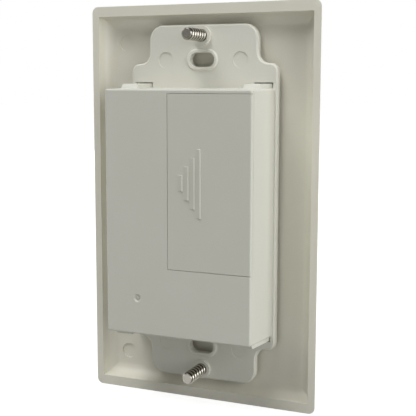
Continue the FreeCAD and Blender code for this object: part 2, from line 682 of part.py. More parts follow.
def cover_recess():
    """The recess and the two grooves that the battery cover slides in."""
    left = COVER_SEAM_X
    right = -CASE_W / 2 - 1
    face = box(left, right, CASE_INNER_Y, CASE_DEPTH + 1, COVER_BOTTOM_Z, COVER_TOP_Z)
    groove_reach = TONGUE_REACH + TONGUE_CLEAR + COVER_GAP
    groove = box(left, right, CASE_INNER_Y, CASE_INNER_Y + TONGUE_T + 2 * TONGUE_CLEAR,
                 COVER_BOTTOM_Z - groove_reach + COVER_GAP, COVER_TOP_Z + groove_reach - COVER_GAP)
    return face.fuse(groove)


def gate_mark():
    """The round dimple left by the mould's gate, with its nub."""
    ball_r = (GATE_D ** 2 / 4 + GATE_DEEP ** 2) / (2 * GATE_DEEP)
    ball = Part.makeSphere(ball_r, V(GATE_X, CASE_DEPTH - GATE_DEEP + ball_r, GATE_Z))
    return ball.cut(rod(GATE_X, GATE_Z, CASE_INNER_Y, CASE_DEPTH - GATE_NUB_DOWN, GATE_NUB_D))


def battery_cover():
    """The sliding cover: a flat panel, two tongues and four saw-tooth grip ridges."""
    inner = CASE_INNER_Y + TONGUE_CLEAR
    left = COVER_SEAM_X - COVER_GAP
    right = -CASE_W / 2
    panel = box(left, right, inner, CASE_DEPTH, COVER_BOTTOM_Z + COVER_GAP, COVER_TOP_Z - COVER_GAP)
    edge = edges_along(panel, V(0, 0, 1), lambda e: e.Vertexes[0].X < right + 0.01
                       and e.Vertexes[0].Y > CASE_DEPTH - 0.01)
    panel = panel.makeFillet(CASE_EDGE_R, edge)
    added = [box(left, right, inner, inner + TONGUE_T, COVER_BOTTOM_Z - TONGUE_REACH,
                 COVER_TOP_Z + TONGUE_REACH)]
    for index in range(RIDGE_COUNT):
        added.append(grip_ridge(index))
    return panel.fuse(added).removeSplitter()


def grip_ridge(index):
    """One ridge: a gentle ramp from +X and a steep face towards -X."""
    crest = COVER_SEAM_X - RIDGE_FIRST_IN - index * RIDGE_PITCH
    half = (RIDGE_FIRST_L + index * RIDGE_GROWTH) / 2
    y = CASE_DEPTH
    root = y - RIDGE_ROOT
    low = (COVER_TOP_Z + COVER_BOTTOM_Z) / 2 - half
    points = [V(crest + RIDGE_RAMP, root, low), V(crest + RIDGE_RAMP, y, low),
              V(crest, y + RIDGE_H, low), V(crest - RIDGE_STEP, y, low), V(crest - RIDGE_STEP, root, low)]
    return prism(points, V(0, 0, 2 * half))


def battery_cell(x, base_z, up):
    """A cell standing on its flat end, with its nub up or down."""
    body_l = CELL_L - CELL_NUB_H
    way = V(0, 0, up)
    body = Part.makeCylinder(CELL_D / 2, body_l, V(x, CELL_Y, base_z), way)
    nub = Part.makeCylinder(CELL_NUB_D / 2, CELL_L, V(x, CELL_Y, base_z), way)
    return body.fuse(nub).removeSplitter()


def spring_at(x, z, up):
    """A conical spring with its wide end at z."""
    turn_rise = (SPRING_L - SPRING_WIRE_D + SPRING_SEAT) / SPRING_TURNS
    wire = coil(SPRING_BASE_D / 2, SPRING_TIP_D / 2, turn_rise, SPRING_TURNS, SPRING_WIRE_D)
    if up < 0:
        wire.rotate(V(0, 0, 0), V(1, 0, 0), 180)
    wire.translate(V(x, CELL_Y, z + up * (SPRING_WIRE_D / 2 - SPRING_SEAT)))
    return wire


def contact_plate(x, z, width):
    """A flat contact against the end wall of the bay, its lower face at z."""
    half = width / 2
    return box(x - half, x + half, BAY_FLOOR_Y, CELL_Y + CONTACT_W / 2, z, z + CONTACT_T)


def contact_tail(x):
    """The strip that runs from a lower contact through the floor into the board."""
    return box(x - TAIL_W / 2, x + TAIL_W / 2, BOARD_FRONT_Y + TAIL_SHORT, BAY_FLOOR_Y + 1,
               BAY_BOTTOM_Z, BAY_BOTTOM_Z + CONTACT_T)


def lower_contact(x):
    """The plate and tail of a contact at the bay's lower end."""
    plate = contact_plate(x, BAY_BOTTOM_Z, CONTACT_W)
    return plate.fuse(contact_tail(x)).removeSplitter()


def bridge_contact():
    """The upper contact that joins the two cells, with one spring."""
    middle = (CELL_LEFT_X + CELL_RIGHT_X) / 2
    plate = contact_plate(middle, BAY_TOP_Z - CONTACT_T, CELL_PITCH + CONTACT_W)
    return plate.fuse(spring_at(CELL_RIGHT_X, BAY_TOP_Z - CONTACT_T, -1))


def positive_contact():
    """The lower contact under the right cell's nub."""
    return lower_contact(CELL_RIGHT_X)


def negative_contact():
    """The lower contact under the left cell, with its spring."""
    plate = lower_contact(CELL_LEFT_X)
    return plate.fuse(spring_at(CELL_LEFT_X, BAY_BOTTOM_Z + CONTACT_T, 1))


def chip(z, width, length, height, lead_pairs):
    """A small-outline chip with gull-wing leads, on the back of the board."""
    base = BOARD_BACK_Y + CHIP_STANDOFF
    x = COMPONENT_X
    body = box(x - width / 2, x + width / 2, base, base + height, z - length / 2, z + length / 2)
    body = body.makeChamfer(CHIP_EDGE, edges_at(body, base + height))
    pitch = length / (lead_pairs + 0.5)
    leads = []
    for row in range(lead_pairs):
        lead_z = z + (row - (lead_pairs - 1) / 2) * pitch
        for side in (1, -1):
            near = x + side * (width / 2 - CHIP_LEAD_ROOT)
            far = x + side * (width / 2 + CHIP_LEAD_OUT)
            toe = x + side * (width / 2 + CHIP_LEAD_REACH)
            mid = base + height / 2
            points = [V(near, mid, 0), V(far, BOARD_BACK_Y, 0), V(toe, BOARD_BACK_Y, 0),
                      V(toe, BOARD_BACK_Y + CHIP_LEAD_T, 0), V(far, BOARD_BACK_Y + CHIP_LEAD_T, 0),
                      V(near, mid + CHIP_LEAD_T, 0)]
            lead = prism(points, V(0, 0, CHIP_LEAD_W))
            lead.translate(V(0, 0, lead_z - CHIP_LEAD_W / 2))
            leads.append(lead)
    return body.fuse(leads)


def crystal():
    """A low metal can with round ends, on the back of the board."""
    z = CRYSTAL_Z
    half = (CRYSTAL_L - CRYSTAL_W) / 2
    x = COMPONENT_X
    y0, y1 = BOARD_BACK_Y, BOARD_BACK_Y + CRYSTAL_H
    can = box(x - half, x + half, y0, y1, z - CRYSTAL_W / 2, z + CRYSTAL_W / 2)
    can = can.fuse([rod(x - half, z, y0, y1, CRYSTAL_W), rod(x + half, z, y0, y1, CRYSTAL_W)])
    can = can.removeSplitter()
    return can.makeChamfer(CRYSTAL_EDGE, edges_at(can, y1))


def antenna_coil():
    """The helical aerial, lying along Z on two short legs."""
    length = COIL_PITCH * COIL_TURNS
    radius = COIL_D / 2 - COIL_WIRE_D / 2
    axis_y = BOARD_BACK_Y + COIL_LIFT + COIL_D / 2
    wire = coil(radius, radius, COIL_PITCH, COIL_TURNS, COIL_WIRE_D)
    wire.rotate(V(0, 0, 0), V(0, 0, 1), -90)
    base = BOARD_TOP_Z - length - COIL_END_GAP
    wire.translate(V(COMPONENT_X, axis_y, base))
    legs = []
    for z in (base, base + length):
        half = COIL_WIRE_D / 2
        legs.append(box(COMPONENT_X - half, COMPONENT_X + half, BOARD_BACK_Y, axis_y - radius,
                        z - half, z + half))
    return wire.fuse(legs)


def supply_capacitor():
    """An upright can capacitor."""
    top = BOARD_BACK_Y + CAPACITOR_L
    return rod(CAPACITOR_X, CAPACITOR_Z, BOARD_BACK_Y, top, CAPACITOR_D)


def status_led():
    """The surface-mounted light behind the light pipe."""
    return box(-LED_W / 2, LED_W / 2, BOARD_FRONT_Y - LED_H, BOARD_FRONT_Y,
               PIPE_Z - LED_L / 2, PIPE_Z + LED_L / 2)


def all_parts():
    """Every node's name with its shape."""
    parts = {
        "wall_plate": wall_plate(),
        "plate_screw_upper": plate_screw(PLATE_SCREW_SPACING / 2),
        "plate_screw_lower": plate_screw(-PLATE_SCREW_SPACING / 2),
        "mounting_frame": mounting_frame(),
        "rear_case": rear_case(),
        "battery_cover": battery_cover(),
        "circuit_board": circuit_board(),
        "board_screw_left": board_screw(BOARD_SCREW_X),
        "board_screw_right": board_screw(-BOARD_SCREW_X),
        "bridge_contact": bridge_contact(),
        "positive_contact": positive_contact(),
        "negative_contact": negative_contact(),
        "controller_chip": chip(CONTROLLER_Z, CONTROLLER_W, CONTROLLER_L, CONTROLLER_H, 8),
        "radio_chip": chip(RADIO_Z, RADIO_W, RADIO_L, RADIO_H, 4),
        "crystal": crystal(),
        "antenna_coil": antenna_coil(),
        "supply_capacitor": supply_capacitor(),
        "status_led": status_led(),
        "light_pipe": light_pipe(),
    }
    lower = BAY_BOTTOM_Z + CONTACT_T
    parts["cell_left"] = battery_cell(CELL_LEFT_X, lower + SPRING_L, 1)
    parts["cell_right"] = battery_cell(CELL_RIGHT_X, BAY_TOP_Z - CONTACT_T - SPRING_L, -1)
    symbols = {"up": lambda z: arrow(z, 1), "stop": square, "down": lambda z: arrow(z, -1)}
    for index, (name, symbol) in enumerate(symbols.items()):
        parts[name + "_button"] = push_button(index, symbol)
        parts[name + "_switch_body"] = switch_body(index)
        parts[name + "_switch_plunger"] = switch_plunger(index)
    return parts


os.makedirs("parts", exist_ok=True)
for node, shape in all_parts().items():
    solids = shape.Solids
    shape = solids[0] if len(solids) == 1 else Part.makeCompound(solids)
    print(node, len(solids), shape.isValid(), round(shape.Volume, 1), flush=True)
    shape.exportStep("parts/" + node + ".step")
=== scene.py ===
import bpy
import math
from mathutils import Matrix, Vector


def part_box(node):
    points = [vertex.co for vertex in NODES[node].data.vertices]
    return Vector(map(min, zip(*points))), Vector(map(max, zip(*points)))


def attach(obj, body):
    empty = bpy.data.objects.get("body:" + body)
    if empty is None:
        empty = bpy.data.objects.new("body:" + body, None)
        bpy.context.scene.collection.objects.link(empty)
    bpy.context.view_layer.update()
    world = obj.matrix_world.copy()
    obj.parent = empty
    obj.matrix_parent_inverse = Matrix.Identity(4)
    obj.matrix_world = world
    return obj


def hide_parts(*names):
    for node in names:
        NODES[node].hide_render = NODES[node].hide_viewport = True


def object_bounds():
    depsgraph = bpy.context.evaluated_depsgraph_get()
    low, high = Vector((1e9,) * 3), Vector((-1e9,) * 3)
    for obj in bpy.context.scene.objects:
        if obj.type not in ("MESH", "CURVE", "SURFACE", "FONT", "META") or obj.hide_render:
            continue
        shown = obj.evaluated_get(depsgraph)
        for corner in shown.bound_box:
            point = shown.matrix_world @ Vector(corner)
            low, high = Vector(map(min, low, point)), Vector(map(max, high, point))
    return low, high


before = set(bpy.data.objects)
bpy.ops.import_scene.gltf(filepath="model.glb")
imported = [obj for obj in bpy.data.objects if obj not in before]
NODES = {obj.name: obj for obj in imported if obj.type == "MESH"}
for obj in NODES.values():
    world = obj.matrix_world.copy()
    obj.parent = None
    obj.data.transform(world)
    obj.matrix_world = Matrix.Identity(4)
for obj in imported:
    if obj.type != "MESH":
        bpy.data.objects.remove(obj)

cad_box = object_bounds()

# %% [markdown]
# # A battery wall switch seen from behind
# The object is a white moulded wall plate with a strap frame drawn against its back by two
# long screws. A shallow case with a sliding battery cover is snapped onto the frame, and three
# push buttons stand in the plate's window on the far side. Every size here is in metres, in the
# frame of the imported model: +Z is up, the buttons face -Y and the back faces +Y.

# %% Units and small helpers
MM = 0.001


def only(obj):
    """Leaves one object selected and active, in object mode."""
    if bpy.context.object and bpy.context.object.mode != "OBJECT":
        bpy.ops.object.mode_set(mode="OBJECT")
    bpy.ops.object.select_all(action="DESELECT")
    obj.select_set(True)
    bpy.context.view_layer.objects.active = obj
    return obj


def apply_all(obj):
    """Applies every modifier of an object, in order."""
    only(obj)
    for name in [m.name for m in obj.modifiers]:
        bpy.ops.object.modifier_apply(modifier=name)
    return obj


def apply_place(obj):
    """Moves an object's place, turn and scale into its mesh."""
    only(obj)
    bpy.ops.object.transform_apply(location=True, rotation=True, scale=True)
    return obj


# %% [markdown]
# ## Colour and shader helpers
# A maker names a colour by the hex value seen on screen, but a shader adds up light in linear
# values, so one function turns the one into the other. A second adds any node with its settings
# and links, which keeps each material short enough to read as a recipe.

# %% Colour and node helpers


def linear(hex_code, alpha=1.0):
    """The linear colour of an sRGB hex value."""
    parts = [int(hex_code[i:i + 2], 16) / 255 for i in (0, 2, 4)]
    low = [c / 12.92 if c <= 0.04045 else ((c + 0.055) / 1.055) ** 2.4 for c in parts]
    return (*low, alpha)


def add(tree, kind, settings=None, links=None):
    """Adds a node, sets its attributes or sockets by name, and links its inputs."""
    made = tree.nodes.new(kind)
    for key, value in (settings or {}).items():
        if isinstance(key, str) and hasattr(made, key):
            setattr(made, key, value)
        else:
            made.inputs[key].default_value = value
    for key, source in (links or {}).items():
        tree.links.new(source, made.inputs[key])
    return made


def new_material(name):
    """An empty material with its output node and the object's coordinates."""
    material = bpy.data.materials.new(name)
    material.use_nodes = True
    tree = material.node_tree
    tree.nodes.clear()
    output = add(tree, "ShaderNodeOutputMaterial")
    place = add(tree, "ShaderNodeTexCoord")
    return material, tree, output, place.outputs["Object"]


def per_mm(size_mm):
    """The texture scale at which one repeat is about this many millimetres."""
    return 1 / (size_mm * MM)


def two_tones(tree, first, second, share):
    """A mix of two hex colours by a share that runs from 0 to 1."""
    tone = add(tree, "ShaderNodeMix", {"data_type": "RGBA"}, {0: share})
    tone.inputs[6].default_value = linear(first)
    tone.inputs[7].default_value = linear(second)
    return tone


print("white plastic in linear values", [round(c, 3) for c in linear("E6E5DC")[:3]])

# %% [markdown]
# ## Moulded plastic
# Plate, frame, case, cover and buttons are injection-moulded ABS. Its base colour is even, but
# the tool's surface shows: a plate is nearly polished, while a case is spark-eroded to a fine
# matt grain that hides sink marks. The real grain is about 0.1 mm, too fine for this view, so it
# is drawn several times coarser and shallow. A slow mottling stands for uneven flow and handling.

# %% Moulded plastic materials
SHEEN_SPREAD = 0.05
GRAIN_STRENGTH = 0.35


def moulded_plastic(name, pale, deep, roughness, grain_mm, grain_depth, mottling_mm=14.0):
    """Injection-moulded ABS with a faint two-tone mottling and a shallow tool grain."""
    material, tree, output, place = new_material(name)
    mottling = add(tree, "ShaderNodeTexNoise",
                   {"Scale": per_mm(mottling_mm), "Detail": 3.0, "Roughness": 0.55},
                   {"Vector": place})
    tone = two_tones(tree, pale, deep, mottling.outputs["Fac"])
    grain = add(tree, "ShaderNodeTexNoise",
                {"Scale": per_mm(grain_mm), "Detail": 2.0, "Roughness": 0.6}, {"Vector": place})
    sheen = add(tree, "ShaderNodeMapRange",
                {"To Min": roughness - SHEEN_SPREAD, "To Max": roughness + SHEEN_SPREAD},
                {"Value": grain.outputs["Fac"]})
    bump = add(tree, "ShaderNodeBump", {"Strength": GRAIN_STRENGTH, "Distance": grain_depth * MM},
               {"Height": grain.outputs["Fac"]})
    shader = add(tree, "ShaderNodeBsdfPrincipled", {"IOR": 1.53},
                 {"Base Color": tone.outputs[2], "Roughness": sheen.outputs["Result"],
                  "Normal": bump.outputs["Normal"]})
    tree.links.new(shader.outputs["BSDF"], output.inputs["Surface"])
    return material


plate_abs = moulded_plastic("satin_abs_plate", "E9E7DA", "E4E1D2", 0.38, 0.9, 0.03)
frame_abs = moulded_plastic("matt_abs_frame", "E4E3DA", "DFDED3", 0.52, 0.7, 0.04)
# The case and cover are drawn greyer than the frame and plate, though all are likely the same
# white ABS: their greyer tone is painted shade for the darker look of the case's back.
case_abs = moulded_plastic("spark_grained_abs_case_painted_shade", "D8D8CF", "D3D3C8", 0.55, 0.6, 0.05)
cover_abs = moulded_plastic("spark_grained_abs_cover_painted_shade", "D6D6CC", "D1D1C6", 0.55, 0.6, 0.05)
button_abs = moulded_plastic("satin_abs_button", "F0EFE8", "ECEBE2", 0.32, 1.0, 0.02)
symbol_paint = moulded_plastic("grey_symbol_paint", "7D7F80", "777A7B", 0.45, 0.5, 0.01)
plastics = (plate_abs, frame_abs, case_abs, cover_abs, button_abs, symbol_paint)
print("plastics", [m.name for m in plastics])

# %% [markdown]
# ## Plated and bare metals
# The plate screws are steel with a bright zinc plate. A metal has no colour under its surface,
# only a tinted reflection, so it is fully metallic and keeps the default IOR. The thread's roots
# get painted shade: the colour is darkened by the distance from the screw's own axis, in place of
# the dark reflections and shade down in the thread, and the tip's end face gets a painted
# mid-tone. Contacts are nickel-plated spring steel and the crystal's can is drawn steel, both
# plainer.

# %% Metal materials
SCREW_Z = 48.4 * MM
THREAD_ROOT_R = 1.36 * MM
THREAD_CREST_R = 1.75 * MM
THREAD_START_Y = -3.9 * MM
TIP_Y = 10.7 * MM
# between these radii from the axis the thread roots fade from painted shade to the light tone
ROOT_SHADE_FROM_R = THREAD_ROOT_R + 0.12 * MM
ROOT_SHADE_TO_R = THREAD_CREST_R - 0.03 * MM
TIP_FACE_Y = (TIP_Y - 0.5 * MM, TIP_Y - 0.1 * MM)
# the tip's end face rises only to this share of the light tone, a painted shade on its reflection
TIP_PAINTED_SHADE_SHARE = 0.6


def zinc_plate(name):
    """Zinc-plated steel with painted shade in its thread roots, for screws along Y at Z +-SCREW_Z.
    """
    material, tree, output, place = new_material(name)
    axes = add(tree, "ShaderNodeSeparateXYZ", {}, {0: place})
    height = add(tree, "ShaderNodeMath", {"operation": "ABSOLUTE"}, {0: axes.outputs["Z"]})
    offset = add(tree, "ShaderNodeMath", {"operation": "SUBTRACT", 1: SCREW_Z},
                 {0: height.outputs[0]})
    flat = add(tree, "ShaderNodeCombineXYZ", {}, {"X": axes.outputs["X"], "Y": offset.outputs[0]})
    radius = add(tree, "ShaderNodeVectorMath", {"operation": "LENGTH"}, {0: flat.outputs[0]})
    # painted shade: darker towards the screw's axis, down in the thread roots
    root_shade = add(tree, "ShaderNodeMapRange", {"From Min": ROOT_SHADE_FROM_R, "From Max": ROOT_SHADE_TO_R},
               {"Value": radius.outputs["Value"]})
    # painted shade on the tip face: a mid-tone between the dark and the light tone
    tip_painted_shade = add(tree, "ShaderNodeMapRange",
              {"From Min": TIP_FACE_Y[0], "From Max": TIP_FACE_Y[1], "To Max": TIP_PAINTED_SHADE_SHARE},
              {"Value": axes.outputs["Y"]})
    head = add(tree, "ShaderNodeMath", {"operation": "LESS_THAN", 1: THREAD_START_Y},
               {0: axes.outputs["Y"]})
    ends = add(tree, "ShaderNodeMath", {"operation": "MAXIMUM"},
               {0: tip_painted_shade.outputs["Result"], 1: head.outputs[0]})
    # the share of the light tone; where it is 0 the roots show their painted shade
    bright = add(tree, "ShaderNodeMath", {"operation": "MAXIMUM"},
                 {0: root_shade.outputs["Result"], 1: ends.outputs[0]})
    streaks = add(tree, "ShaderNodeTexNoise", {"Scale": per_mm(0.5), "Detail": 3.0},
                  {"Vector": place})
    # the dark tone is the painted shade of the thread roots
    tone = two_tones(tree, "2E2A25", "C6C2B8", bright.outputs[0])
    polish = add(tree, "ShaderNodeMapRange", {"To Min": 0.16, "To Max": 0.30},
                 {"Value": streaks.outputs["Fac"]})
    shader = add(tree, "ShaderNodeBsdfPrincipled", {"Metallic": 1.0},
                 {"Base Color": tone.outputs[2], "Roughness": polish.outputs["Result"]})
    tree.links.new(shader.outputs["BSDF"], output.inputs["Surface"])
    return material


def bare_metal(name, hex_code, low, high, mark_mm):
    """A metal whose roughness wanders between two values, in marks of a given size."""
    material, tree, output, place = new_material(name)
    marks = add(tree, "ShaderNodeTexNoise", {"Scale": per_mm(mark_mm), "Detail": 4.0},
                {"Vector": place})
    polish = add(tree, "ShaderNodeMapRange", {"To Min": low, "To Max": high},
                 {"Value": marks.outputs["Fac"]})
    shader = add(tree, "ShaderNodeBsdfPrincipled",
                 {"Base Color": linear(hex_code), "Metallic": 1.0},
                 {"Roughness": polish.outputs["Result"]})
    tree.links.new(shader.outputs["BSDF"], output.inputs["Surface"])
    return material


zinc = zinc_plate("zinc_screw_steel_painted_shade")
nickel = bare_metal("nickel_plated_spring_steel", "D6D2C6", 0.18, 0.35, 1.2)
drawn_can = bare_metal("drawn_steel_can", "C9CACB", 0.25, 0.42, 0.8)
copper = bare_metal("enamelled_copper_wire", "B9683C", 0.22, 0.36, 0.6)
print("metals", [m.name for m in (zinc, nickel, drawn_can, copper)])

# %% [markdown]
# ## What is inside
# With the cover slid off, the cells and their contacts show, and the board lies under them. The
# board is glass-epoxy laminate under a green solder mask, the chips are moulded black epoxy, and
# the cells wear a printed sleeve, here a plain dark sleeve with a plain copper-coloured band at
# the positive end. The light pipe is clear acrylic.

# %% Materials of the inner pieces


def plain_surface(name, pale, deep, roughness, spot_mm, **settings):
    """A coated or moulded surface with a faint two-tone variation."""
    material, tree, output, place = new_material(name)
    spots = add(tree, "ShaderNodeTexNoise", {"Scale": per_mm(spot_mm), "Detail": 3.0},
                {"Vector": place})
    tone = two_tones(tree, pale, deep, spots.outputs["Fac"])
    values = {"Roughness": roughness, "IOR": 1.5, **settings}
    shader = add(tree, "ShaderNodeBsdfPrincipled", values, {"Base Color": tone.outputs[2]})
    tree.links.new(shader.outputs["BSDF"], output.inputs["Surface"])
    return material


def cell_sleeve(name, band_z, up):
    """A dark sleeve with a copper-coloured band beyond one height, towards the nub."""
    material, tree, output, place = new_material(name)
    axes = add(tree, "ShaderNodeSeparateXYZ", {}, {0: place})
    side = "GREATER_THAN" if up > 0 else "LESS_THAN"
    past = add(tree, "ShaderNodeMath", {"operation": side, 1: band_z}, {0: axes.outputs["Z"]})
    tone = two_tones(tree, "23262B", "B0713F", past.outputs[0])
    scuffs = add(tree, "ShaderNodeTexNoise", {"Scale": per_mm(3.0), "Detail": 4.0},
                 {"Vector": place})
    polish = add(tree, "ShaderNodeMapRange", {"To Min": 0.26, "To Max": 0.4},
                 {"Value": scuffs.outputs["Fac"]})
    shader = add(tree, "ShaderNodeBsdfPrincipled", {"Metallic": 0.35},
                 {"Base Color": tone.outputs[2], "Roughness": polish.outputs["Result"]})
    tree.links.new(shader.outputs["BSDF"], output.inputs["Surface"])
    return material


laminate = plain_surface("green_solder_mask", "1F6B3C", "1A5C33", 0.4, 4.0)
epoxy = plain_surface("black_chip_epoxy", "1C1C1D", "262627", 0.6, 0.8)
lens = plain_surface("led_lens", "EFE9C8", "E6DFB8", 0.3, 0.5)
acrylic = plain_surface("clear_acrylic_rod", "F2F5F4", "EEF2F1", 0.08, 2.0,
                        **{"Transmission Weight": 0.85})
print("inner materials", [m.name for m in (laminate, epoxy, lens, acrylic)])

# %% [markdown]
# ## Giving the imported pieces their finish
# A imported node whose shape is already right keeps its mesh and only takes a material. A table of
# node names by finish says this once, and a node that a finer piece will stand for takes its
# finish all the same, so that nothing is left bare.

# %% Finish of each node
FINISH = {
    "wall_plate": plate_abs, "mounting_frame": frame_abs, "rear_case": case_abs,
    "battery_cover": cover_abs, "up_button": button_abs, "stop_button": button_abs,
    "down_button": button_abs, "circuit_board": laminate, "controller_chip": epoxy,
    "radio_chip": epoxy, "crystal": drawn_can, "antenna_coil": copper,
    "supply_capacitor": drawn_can, "status_led": lens, "light_pipe": acrylic,
    "bridge_contact": nickel, "positive_contact": nickel, "negative_contact": nickel,
    "plate_screw_upper": zinc, "plate_screw_lower": zinc,
    "board_screw_left": nickel, "board_screw_right": nickel,
}
for button in ("up", "stop", "down"):
    FINISH[button + "_switch_body"] = epoxy
    FINISH[button + "_switch_plunger"] = epoxy
BAND_MM = 12.0
for cell, up in (("cell_left", 1), ("cell_right", -1)):
    low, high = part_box(cell)
    edge = high.z - BAND_MM * MM if up > 0 else low.z + BAND_MM * MM
    FINISH[cell] = cell_sleeve(cell + "_sleeve", edge, up)
for name, material in FINISH.items():
    NODES[name].data.materials.clear()
    NODES[name].data.materials.append(material)
print("finished nodes", len(FINISH), "of", len(NODES))

# %% [markdown]
# ## Softening a moulding's edges
# No moulded edge is truly sharp, and a hard edge without a thin highlight looks drawn rather than
# made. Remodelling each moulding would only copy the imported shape, so a copy of its mesh is
# merged, its flat triangles are dissolved into whole faces, and a bevel rounds every crease. A
# whole face with a hole in it can close over that hole, so the button caps are halved first and
# the strap frame keeps its packed edges. Weighted normals then keep the flat faces flat right up
# to the rounded edge.

# %% A softened copy of a moulding
CREASE = math.radians(24)
FLAT = math.radians(0.3)
MERGE = 0.002 * MM
BEVEL_STEPS = 3
SMOOTH_DEGREES = 35
FLAT_WEIGHT = 80


def stand_in(node, name):
    """A copy of a node's mesh with its vertices merged, to stand for it."""
    piece = bpy.data.objects.new(name, NODES[node].data.copy())
    bpy.context.scene.collection.objects.link(piece)
    only(piece)
    bpy.ops.mesh.customdata_custom_splitnormals_clear()
    bpy.ops.object.mode_set(mode="EDIT")
    bpy.ops.mesh.select_all(action="SELECT")
    bpy.ops.mesh.remove_doubles(threshold=MERGE)
    bpy.ops.object.mode_set(mode="OBJECT")
    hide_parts(node)
    return piece


def softened(node, name, round_mm, halve=False):
    """A stand-in with every crease rounded, and halved at X = 0 before that if asked."""
    piece = stand_in(node, name)
    only(piece)
    bpy.ops.object.mode_set(mode="EDIT")
    bpy.ops.mesh.select_all(action="SELECT")
    if halve:
        bpy.ops.mesh.bisect(plane_co=(0, 0, 0), plane_no=(1, 0, 0))
        bpy.ops.mesh.mark_seam()
        bpy.ops.mesh.select_all(action="SELECT")
    bpy.ops.mesh.dissolve_limited(angle_limit=FLAT, delimit={"NORMAL", "SEAM"})
    bpy.ops.object.mode_set(mode="OBJECT")
    bevel = piece.modifiers.new("edge_round", "BEVEL")
    bevel.width = round_mm * MM
    bevel.segments = BEVEL_STEPS
    bevel.limit_method = "ANGLE"
    bevel.angle_limit = CREASE
    bevel.miter_outer = "MITER_ARC"
    return apply_all(piece)


def smooth(piece, degrees=SMOOTH_DEGREES):
    """Smooth shading that keeps creases, with normals weighted towards the flat faces."""
    only(piece)
    bpy.ops.object.shade_smooth_by_angle(angle=math.radians(degrees))
    weighted = piece.modifiers.new("flat_faces", "WEIGHTED_NORMAL")
    weighted.keep_sharp = True
    weighted.weight = FLAT_WEIGHT
    apply_all(piece)
    piece.data.update()
    return piece


def cut(piece, tools):
    """Splits a piece into triangles, cuts each tool's shape out of it and removes the tool."""
    piece.data.update()
    piece.modifiers.new("triangles", "TRIANGULATE")
    apply_all(piece)
    for tool in tools:
        boolean = piece.modifiers.new("cut", "BOOLEAN")
        boolean.operation = "DIFFERENCE"
        boolean.object = tool
        boolean.solver = "EXACT"
        apply_all(piece)
        bpy.data.objects.remove(tool)
    return piece


print("crease angle", round(math.degrees(CREASE)), "degrees")

# %% [markdown]
# ## The wall plate
# The plate is one moulding: a flat rim that meets the wall, a coved hollow behind the face, and a
# window. Ejector pins leave faint round marks on its floor. They are cut as shallow discs after
# the edges are rounded, so that their own step stays crisp.

# %% Plate shell with its pin marks
PIN_MARK_R = 2.25 * MM
PIN_MARK_SIDES = 44
PIN_TOOL_L = 1.0 * MM
PLATE_MARK_X = 26.1 * MM
PLATE_MARK_Z = 46.9 * MM
PLATE_MARK_DEEP = 0.40 * MM
PLATE_FLOOR_Y = -3.3 * MM


def pin_mark(x, y, z, deep):
    """A disc whose flat end lies a given depth inside a face that looks back."""
    bpy.ops.object.select_all(action="DESELECT")
    bpy.ops.mesh.primitive_cylinder_add(
        vertices=PIN_MARK_SIDES, radius=PIN_MARK_R, depth=PIN_TOOL_L,
        location=(x, y - deep + PIN_TOOL_L / 2, z), rotation=(math.pi / 2, 0, 0))
    return apply_place(bpy.context.object)


plate = softened("wall_plate", "wall_plate_shell", 0.22)
cut(plate, [pin_mark(PLATE_MARK_X, PLATE_FLOOR_Y, z, PLATE_MARK_DEEP)
            for z in (PLATE_MARK_Z, -PLATE_MARK_Z)])
smooth(plate)
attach(plate, "switch")
print("plate shell", len(plate.data.polygons), "faces")

# %% [markdown]
# ## The strap frame
# The frame is the moulding that the plate is drawn against. Seen from behind it is a flat strap
# with round shoulders, a raised rim round each box-screw slot, a low boss round each plate screw
# and four pin marks beside the slots. Its packed edges aren't rounded. The case's snaps stand in
# four notches. Their gap of 0.2 mm is too fine to show as the dark line that it is, so its far
# edge and both sides are cut back.

# %% Frame moulding with its pin marks
NOTCH_EDGES_Z = (35.20 * MM, -37.95 * MM)
NOTCH_SIDE = 0.65 * MM  # from the case's side face in to the notch's outer side
NOTCH_W = 5.2 * MM
NOTCH_H = 1.2 * MM
NOTCH_CUT_BACK = 0.12 * MM
NOTCH_DEEP = 1.3 * MM
FRAME_MARK_X = 11.5 * MM
FRAME_MARK_Z = 41.65 * MM
FRAME_MARK_DEEP = 0.22 * MM


def notch_relief(side, edge_z):
    """A box that cuts back the far edge and both sides of one snap's notch."""
    up = 1 if edge_z > 0 else -1
    middle_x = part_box("rear_case")[1].x - NOTCH_SIDE - NOTCH_W / 2
    bpy.ops.object.select_all(action="DESELECT")
    bpy.ops.mesh.primitive_cube_add(
        size=1.0, location=(side * middle_x, 0, edge_z + up * (NOTCH_CUT_BACK - NOTCH_H) / 2))
    relief = bpy.context.object
    relief.scale = (NOTCH_W + 2 * NOTCH_CUT_BACK, 2 * NOTCH_DEEP, NOTCH_H + NOTCH_CUT_BACK)
    return apply_place(relief)


strap = stand_in("mounting_frame", "mounting_frame_moulding")
cut(strap, [pin_mark(x, 0.0, z, FRAME_MARK_DEEP)
            for x in (FRAME_MARK_X, -FRAME_MARK_X) for z in (FRAME_MARK_Z, -FRAME_MARK_Z)])
cut(strap, [notch_relief(side, edge_z) for side in (1, -1) for edge_z in NOTCH_EDGES_Z])
smooth(strap)
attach(strap, "switch")
print("frame moulding", len(strap.data.polygons), "faces")

# %% [markdown]
# ## Case, cover and buttons
# The case and its cover are matt mouldings whose thin parting edges catch the light, so they get a
# small round. The buttons are softer to the finger, and their own edge is already round in the
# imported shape, so they only need their cavity and symbol eased. Each symbol is a shallow recess
# filled with grey paint, so the faces on its floor take a second material.

